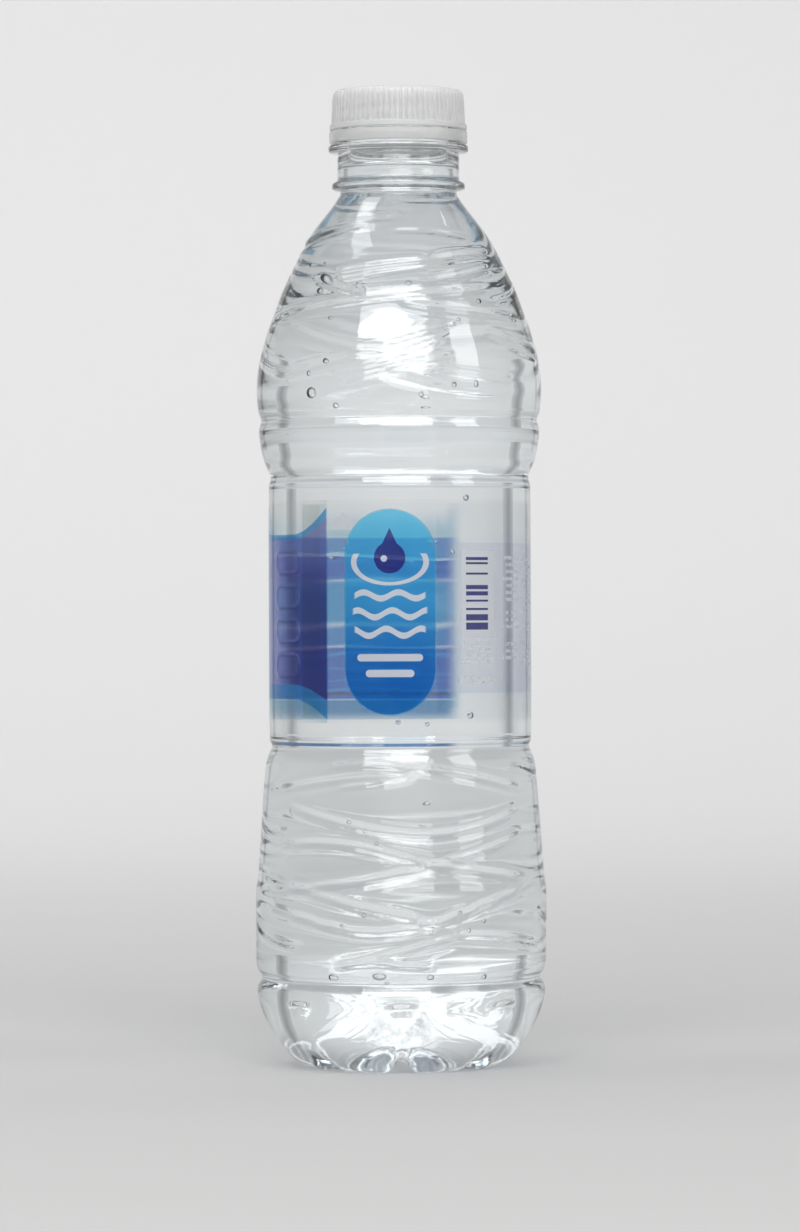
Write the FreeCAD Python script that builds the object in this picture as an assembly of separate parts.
import FreeCAD
import Part

import math
import os

V = FreeCAD.Vector
os.makedirs("parts", exist_ok=True)

# ---------------------------------------------------------------- dimensions
# Millimetres. +Z runs up the bottle's axis, the origin is the centre of the
# base plane and the front of the label faces -Y.

# blow-moulded body
R_LOWER = 33.9           # lower cylinder, the widest part
Z_LOWER = (26.0, 41.0)
R_PANEL = 30.5           # recessed label panel
Z_PANEL = (76.3, 135.2)
FOOT_R = (17.2, 21.5)    # ring of the eight feet
WALL = 0.35              # stretched wall
WALL_NECK = 1.30         # unstretched wall below the neck
Z_WALL = (182.0, 203.4)  # wall thickens between these heights
FEET = 8
FOOT_GROOVE_R = 2.6      # radius of the grooves between the feet

# neck finish
R_BORE = 12.0
R_NECK = 14.2
R_RING2 = 15.5           # lower neck ring
R_SUPPORT = 16.3         # support ring
Z_SUPPORT = (213.0, 214.4)
R_FINISH = 13.5          # wall under the tamper band
R_BEAD = 14.6            # tamper bead
R_THREAD_WALL = 13.3
Z_RIM = 225.6
PITCH = 2.7              # right-hand thread
R_THREAD = 14.3
THREAD_TURNS = 1.5
Z_THREAD = 219.6         # centre of the thread at its lower end

# closure
Z_CAP = (218.1, 227.4)
R_CAP_RING = 16.0        # plain ring at the foot of the cap
Z_KNURL = 219.5
R_KNURL = (15.65, 15.2)  # knurled wall, bottom and top
KNURLS = 72
KNURL_DEPTH = 0.38
CAP_EDGE = 1.4           # rounded top edge
R_SKIRT = 14.75          # inside of the skirt
R_LINER_SEAT = 14.35
Z_LINER_SEAT = 226.2
R_CAP_THREAD = 13.65
CAP_THREAD_LAG = 1.15    # cap's thread sits this far below the neck's
BAND_R = (15.05, 16.1)
BAND_Z = (215.0, 217.7)
BAND_FLAPS = 12
BRIDGES = 8
LINER_R = 14.2

# label
LABEL_Z = (80.5, 131.5)
FILM = 0.06
R_FILM = 30.55
SEAM = -123.0            # polar angle of the film's outer end
OVERLAP = 15.0
RAMP = 6.0

# contents
FILL_Z = 210.0
WATER_GAP = 0.05

# ------------------------------------------------------------------ profiles
BASE = [(0, 9.5), (1.2, 9.46), (5, 8.8), (9.5, 6.2), (13, 3.0), (15.6, 0.72),
        (16.4, 0.2), (17.2, 0)]
HEEL = [(21.5, 0), (22.4, 0.16), (23.9, 0.85), (26.2, 2.9), (29.4, 7.2),
        (31.2, 10.2), (32.9, 14.2), (33.55, 17.2), (33.55, 18.5), (33.2, 19.6),
        (32.5, 20.6), (32.5, 21.4), (33.2, 22.4), (33.7, 23.8), (33.88, 25.2),
        (33.9, 26.0)]
WAIST = [(33.9, 41.0), (33.85, 42.0), (33.6, 43.5), (33.2, 47.2), (32.7, 54.0),
         (31.9, 65.0), (31.4, 70.0), (30.9, 72.3), (30.2, 73.9), (29.95, 74.8),
         (30.3, 75.6), (30.47, 76.0), (30.5, 76.3)]
SHOULDER = [(30.5, 135.2), (30.48, 135.5), (30.3, 136.0), (30.05, 136.9),
            (30.5, 138.6), (31.5, 140.8), (32.4, 144.6), (32.75, 147.4),
            (32.6, 149.0), (32.2, 150.3), (32.6, 151.7), (33.0, 153.6),
            (33.2, 157.0), (33.0, 161.0), (32.0, 166.5), (30.6, 171.2),
            (28.9, 175.8), (27.2, 180.4), (25.0, 185.1), (22.8, 189.6),
            (20.2, 194.0), (17.3, 197.9), (14.95, 201.0), (13.95, 202.5),
            (13.65, 203.1), (13.6, 203.4)]


def spline(points):
    c = Part.BSplineCurve()
    c.interpolate([V(r, 0, z) for r, z in points])
    return c


CURVES = [
    spline(BASE),
    (FOOT_R[0], 0, FOOT_R[1], 0),
    spline(HEEL),
    (R_LOWER, Z_LOWER[0], R_LOWER, Z_LOWER[1]),
    spline(WAIST),
    (R_PANEL, Z_PANEL[0], R_PANEL, Z_PANEL[1]),
    spline(SHOULDER),
]


def wall_at(z):
    t = (z - Z_WALL[0]) / (Z_WALL[1] - Z_WALL[0])
    t = min(max(t, 0.0), 1.0)
    return WALL + (WALL_NECK - WALL) * t * t * (3 - 2 * t)


def samples(curve, n):
    """Points and unit tangents along a spline, evenly spaced by length."""
    out = []
    a, b = curve.FirstParameter, curve.LastParameter
    total = curve.length(a, b)
    for i in range(n + 1):
        u = a if i == 0 else b if i == n else curve.parameterAtDistance(total * i / n, a)
        p = curve.value(u)
        t = curve.tangent(u)[0]
        t.normalize()
        out.append((p, t))
    return out


def offset_edges(extra):
    """The body's profile moved inwards by the wall and a further amount."""
    edges = []
    for c in CURVES:
        if isinstance(c, tuple):
            r0, z0, r1, z1 = c
            w = WALL + extra
            if z0 == z1:
                edges.append(Part.makeLine(V(r0, 0, z0 + w), V(r1, 0, z1 + w)))
            else:
                edges.append(Part.makeLine(V(r0 - w, 0, z0), V(r1 - w, 0, z1)))
            continue
        length = c.length(c.FirstParameter, c.LastParameter)
        pts = []
        rows = samples(c, max(8, int(length / 0.6)))
        for p, t in rows:
            w = wall_at(p.z) + extra
            pts.append(V(p.x - w * t.z, 0, p.z + w * t.x))
        # the ends lie square to the joins with the straight pieces
        for j, (p, t) in ((0, rows[0]), (-1, rows[-1])):
            w = wall_at(p.z) + extra
            pts[j] = V(p.x, 0, p.z + w) if p.z < 10 else V(p.x - w, 0, p.z)
        s = Part.BSplineCurve()
        s.interpolate(pts)
        edges.append(s.toShape())
    return edges


def outer_edges():
    out = []
    for c in CURVES:
        if isinstance(c, tuple):
            r0, z0, r1, z1 = c
            out.append(Part.makeLine(V(r0, 0, z0), V(r1, 0, z1)))
        else:
            out.append(c.toShape())
    return out


def chain(points):
    return [Part.makeLine(V(a[0], 0, a[1]), V(b[0], 0, b[1]))
            for a, b in zip(points, points[1:])]


def turned(edges):
    """Solid of revolution about the Z axis from a closed half profile."""
    wire = Part.Wire(Part.__sortEdges__(edges))
    solid = Part.Face(wire).revolve(V(0, 0, 0), V(0, 0, 1), 360)
    if solid.Volume < 0:
        solid.reverse()
    return solid


def sweep(path, radius):
    """Round bar along a path edge."""
    a = path.FirstParameter
    ring = Part.Wire(Part.makeCircle(radius, path.valueAt(a), path.tangentAt(a)))
    return Part.Wire(path).makePipeShell([ring], True, False)


FOOT_PATH = Part.Arc(V(9.5, 0, 3.2), V(19.4, 0, -0.2), V(33.4, 0, 8.9)).toShape()


def base_ring(edges, groove):
    """The base up to the lower cylinder: eight sectors, each with the groove between two feet pressed into it."""
    low = edges[0].valueAt(edges[0].FirstParameter)
    high = edges[-1].valueAt(edges[-1].LastParameter)
    edges = edges + [Part.makeLine(high, V(0, 0, high.z)), Part.makeLine(V(0, 0, high.z), low)]
    face = Part.Face(Part.Wire(Part.__sortEdges__(edges)))
    face.rotate(V(0, 0, 0), V(0, 0, 1), -180.0 / FEET)
    sector = face.revolve(V(0, 0, 0), V(0, 0, 1), 360.0 / FEET)
    if sector.Volume < 0:
        sector.reverse()
    sector = sector.cut(sweep(FOOT_PATH, groove))
    out = []
    for i in range(FEET):
        c = sector.copy()
        c.rotate(V(0, 0, 0), V(0, 0, 1), 360.0 / FEET * i)
        out.append(c)
    return out


# ---------------------------------------------------------------- the bottle
def finish_points():
    return [(13.6, 203.4), (13.7, 203.9), (R_RING2 - 0.2, 204.2),
            (R_RING2, 204.5), (R_RING2, 205.5), (R_RING2 - 0.2, 205.8),
            (R_NECK, 206.5), (R_NECK, Z_SUPPORT[0]),
            (R_SUPPORT - 0.2, Z_SUPPORT[0]), (R_SUPPORT, Z_SUPPORT[0] + 0.2),
            (R_SUPPORT, Z_SUPPORT[1] - 0.2), (R_SUPPORT - 0.2, Z_SUPPORT[1]),
            (R_FINISH, Z_SUPPORT[1]), (R_FINISH, 216.6), (R_BEAD, 216.6),
            (R_BEAD, 216.9), (R_FINISH, 218.0), (R_THREAD_WALL, 218.3),
            (R_THREAD_WALL, Z_RIM - 0.4), (R_THREAD_WALL - 0.4, Z_RIM),
            (R_BORE + 0.25, Z_RIM), (0, Z_RIM)]


def outer_solid():
    edges = outer_edges()
    upper = edges[3:] + chain(finish_points())
    upper += chain([(0, Z_RIM), (0, Z_LOWER[0]), (R_LOWER, Z_LOWER[0])])
    return turned(upper).fuse(base_ring(edges[:3], FOOT_GROOVE_R))


def cavity(extra, top):
    """The space inside the wall, a further amount inside it, up to a height."""
    edges = offset_edges(extra)
    start = edges[3].valueAt(edges[3].FirstParameter)
    high = edges[-1].valueAt(edges[-1].LastParameter)
    bore = R_BORE - extra
    rim = [(high.x, high.z), (bore, 206.0)]
    if top > Z_RIM:
        rim += [(bore, Z_RIM - 0.25), (bore + 0.25, Z_RIM), (bore + 0.25, top), (0, top)]
    else:
        rim += [(bore, top), (0, top)]
    upper = edges[3:] + chain(rim) + chain([(0, top), (0, start.z), (start.x, start.z)])
    return turned(upper).fuse(base_ring(edges[:3], FOOT_GROOVE_R + WALL + extra))


def thread(radius_root, radius_crest, root, crest, turns, z, start_deg):
    """Trapezoidal thread ridge as a solid of its own."""
    helix = Part.makeHelix(PITCH, PITCH * turns, radius_crest)
    helix.rotate(V(0, 0, 0), V(0, 0, 1), start_deg)
    helix.translate(V(0, 0, z))
    pts = [(radius_root, -root / 2), (radius_crest, -crest / 2),
           (radius_crest, crest / 2), (radius_root, root / 2)]
    a = math.radians(start_deg)
    ring = [V(r * math.cos(a), r * math.sin(a), z + h) for r, h in pts]
    profile = Part.Wire(Part.makePolygon(ring + [ring[0]]))
    solid = Part.Wire(helix).makePipeShell([profile], True, True)
    if solid.Volume < 0:
        solid.reverse()
    return solid


def solid_of(shape):
    s = shape.Solids
    return s[0] if len(s) == 1 else Part.makeCompound(s)


bottle = outer_solid().cut(cavity(0.0, Z_RIM + 1.0))
bottle = bottle.fuse(thread(R_THREAD_WALL - 0.2, R_THREAD, 1.6, 0.8, THREAD_TURNS, Z_THREAD, 0))
bottle = solid_of(bottle)

water = solid_of(cavity(WATER_GAP, FILL_Z))


# --------------------------------------------------------------- the closure
def star(radius, z):
    pts = []
    step = 2 * math.pi / KNURLS
    for i in range(KNURLS):
        for f, d in ((-0.30, 0.0), (0.18, 0.0), (0.34, KNURL_DEPTH), (0.54, KNURL_DEPTH)):
            a = (i + f) * step
            pts.append(V((radius - d) * math.cos(a), (radius - d) * math.sin(a), z))
    return Part.Wire(Part.makePolygon(pts + [pts[0]]))


knurled = Part.makeLoft([star(R_KNURL[0], Z_KNURL - 0.4), star(R_KNURL[1], Z_CAP[1])], True, True)
e = CAP_EDGE
top_r = R_KNURL[1] + 0.05
envelope = turned([
    Part.makeLine(V(0, 0, Z_KNURL - 0.4), V(R_KNURL[0] + 1, 0, Z_KNURL - 0.4)),
    Part.makeLine(V(R_KNURL[0] + 1, 0, Z_KNURL - 0.4), V(R_KNURL[0] + 1, 0, 223.0)),
    Part.makeLine(V(R_KNURL[0] + 1, 0, 223.0), V(top_r, 0, Z_CAP[1] - e)),
    Part.Arc(V(top_r, 0, Z_CAP[1] - e),
             V(top_r - e * (1 - math.cos(math.pi / 4)), 0, Z_CAP[1] - e * (1 - math.sin(math.pi / 4))),
             V(top_r - e, 0, Z_CAP[1])).toShape(),
    Part.makeLine(V(top_r - e, 0, Z_CAP[1]), V(0, 0, Z_CAP[1])),
    Part.makeLine(V(0, 0, Z_CAP[1]), V(0, 0, Z_KNURL - 0.4)),
])
ring = turned(chain([(0, Z_CAP[0]), (R_CAP_RING - 0.15, Z_CAP[0]), (R_CAP_RING, Z_CAP[0] + 0.15),
                     (R_CAP_RING, Z_KNURL - 0.25), (R_KNURL[0] - 0.05, Z_KNURL), (0, Z_KNURL),
                     (0, Z_CAP[0])]))
well = turned(chain([(0, Z_CAP[0] - 1), (R_SKIRT, Z_CAP[0] - 1), (R_SKIRT, 224.4),
                     (R_LINER_SEAT, 224.9), (R_LINER_SEAT, Z_LINER_SEAT), (0, Z_LINER_SEAT),
                     (0, Z_CAP[0] - 1)]))
cap = knurled.common(envelope).fuse(ring).cut(well)
cap = cap.fuse(thread(R_SKIRT + 0.2, R_CAP_THREAD, 1.2, 0.6, THREAD_TURNS,
                      Z_THREAD - CAP_THREAD_LAG + PITCH * 150 / 360, 150))
cap = solid_of(cap)

liner = Part.makeCylinder(LINER_R, Z_LINER_SEAT - Z_RIM - 0.04, V(0, 0, Z_RIM + 0.02))

band = turned(chain([(BAND_R[0], BAND_Z[0] + 0.1), (BAND_R[0] + 0.15, BAND_Z[0]),
                     (BAND_R[1] - 0.2, BAND_Z[0]), (BAND_R[1], BAND_Z[0] + 0.2),
                     (BAND_R[1], BAND_Z[1] - 0.15), (BAND_R[1] - 0.15, BAND_Z[1]),
                     (BAND_R[0], BAND_Z[1]), (BAND_R[0], BAND_Z[0] + 0.1)]))
flap_wire = Part.Wire(chain([(BAND_R[0] + 0.2, 215.15), (13.95, 216.05), (14.0, 216.45),
                             (BAND_R[0] + 0.2, 215.75), (BAND_R[0] + 0.2, 215.15)]))
for i in range(BAND_FLAPS):
    f = Part.Face(flap_wire).revolve(V(0, 0, 0), V(0, 0, 1), 22)
    f.rotate(V(0, 0, 0), V(0, 0, 1), 360.0 / BAND_FLAPS * i)
    if f.Volume < 0:
        f.reverse()
    band = band.fuse(f)
band = solid_of(band)

links = []
for i in range(BRIDGES):
    b = Part.makeBox(0.5, 0.8, Z_CAP[0] - BAND_Z[1] - 0.02, V(15.35, -0.4, BAND_Z[1]))
    b.rotate(V(0, 0, 0), V(0, 0, 1), 360.0 / BRIDGES * i)
    links.append(b)
links = Part.makeCompound(links)


# ----------------------------------------------------------------- the label
def at(radius, deg, z):
    a = math.radians(deg)
    return V(radius * math.cos(a), radius * math.sin(a), z)


def arc(radius, a0, a1, z):
    return Part.Arc(at(radius, a0, z), at(radius, (a0 + a1) / 2, z), at(radius, a1, z)).toShape()


z0 = LABEL_Z[0]
a0 = SEAM - OVERLAP
a1 = SEAM + 360 - OVERLAP - RAMP
a2 = SEAM + 360 - OVERLAP
a3 = SEAM + 360
r1, r2 = R_FILM, R_FILM + FILM
r3, r4 = R_FILM + FILM + 0.05, R_FILM + 2 * FILM + 0.05
outline = [
    arc(r2, a0, a1, z0), Part.makeLine(at(r2, a1, z0), at(r4, a2, z0)), arc(r4, a2, a3, z0),
    Part.makeLine(at(r4, a3, z0), at(r3, a3, z0)), arc(r3, a3, a2, z0),
    Part.makeLine(at(r3, a2, z0), at(r1, a1, z0)), arc(r1, a1, a0, z0),
    Part.makeLine(at(r1, a0, z0), at(r2, a0, z0)),
]
film = Part.Face(Part.Wire(outline)).extrude(V(0, 0, LABEL_Z[1] - LABEL_Z[0]))


def strip(ra, rb, b0, b1):
    w = Part.Wire([arc(ra, b0, b1, z0 + 1), Part.makeLine(at(ra, b1, z0 + 1), at(rb, b1, z0 + 1)),
                   arc(rb, b1, b0, z0 + 1), Part.makeLine(at(rb, b0, z0 + 1), at(ra, b0, z0 + 1))])
    return Part.Face(w).extrude(V(0, 0, LABEL_Z[1] - LABEL_Z[0] - 2))


glue = Part.makeCompound([
    strip(R_PANEL + 0.005, R_FILM - 0.005, a0 + 1, a0 + 11),
    strip(r2 + 0.005, r3 - 0.005, a2 + 1, a3 - 1),
])

# -------------------------------------------------------------------- export
NODES = {
    "bottle_shell": bottle,
    "water": water,
    "cap_shell": cap,
    "cap_liner": liner,
    "tamper_band": band,
    "tamper_bridges": links,
    "label_film": film,
    "label_glue": glue,
}
for name, shape in NODES.items():
    shape.exportStep("parts/%s.step" % name)
    b = shape.BoundBox
    print(name, "valid", shape.isValid(), "solids", len(shape.Solids),
          "volume_cm3 %.3f" % (shape.Volume / 1000),
          "x %.2f %.2f y %.2f %.2f z %.2f %.2f" % (b.XMin, b.XMax, b.YMin, b.YMax, b.ZMin, b.ZMax))
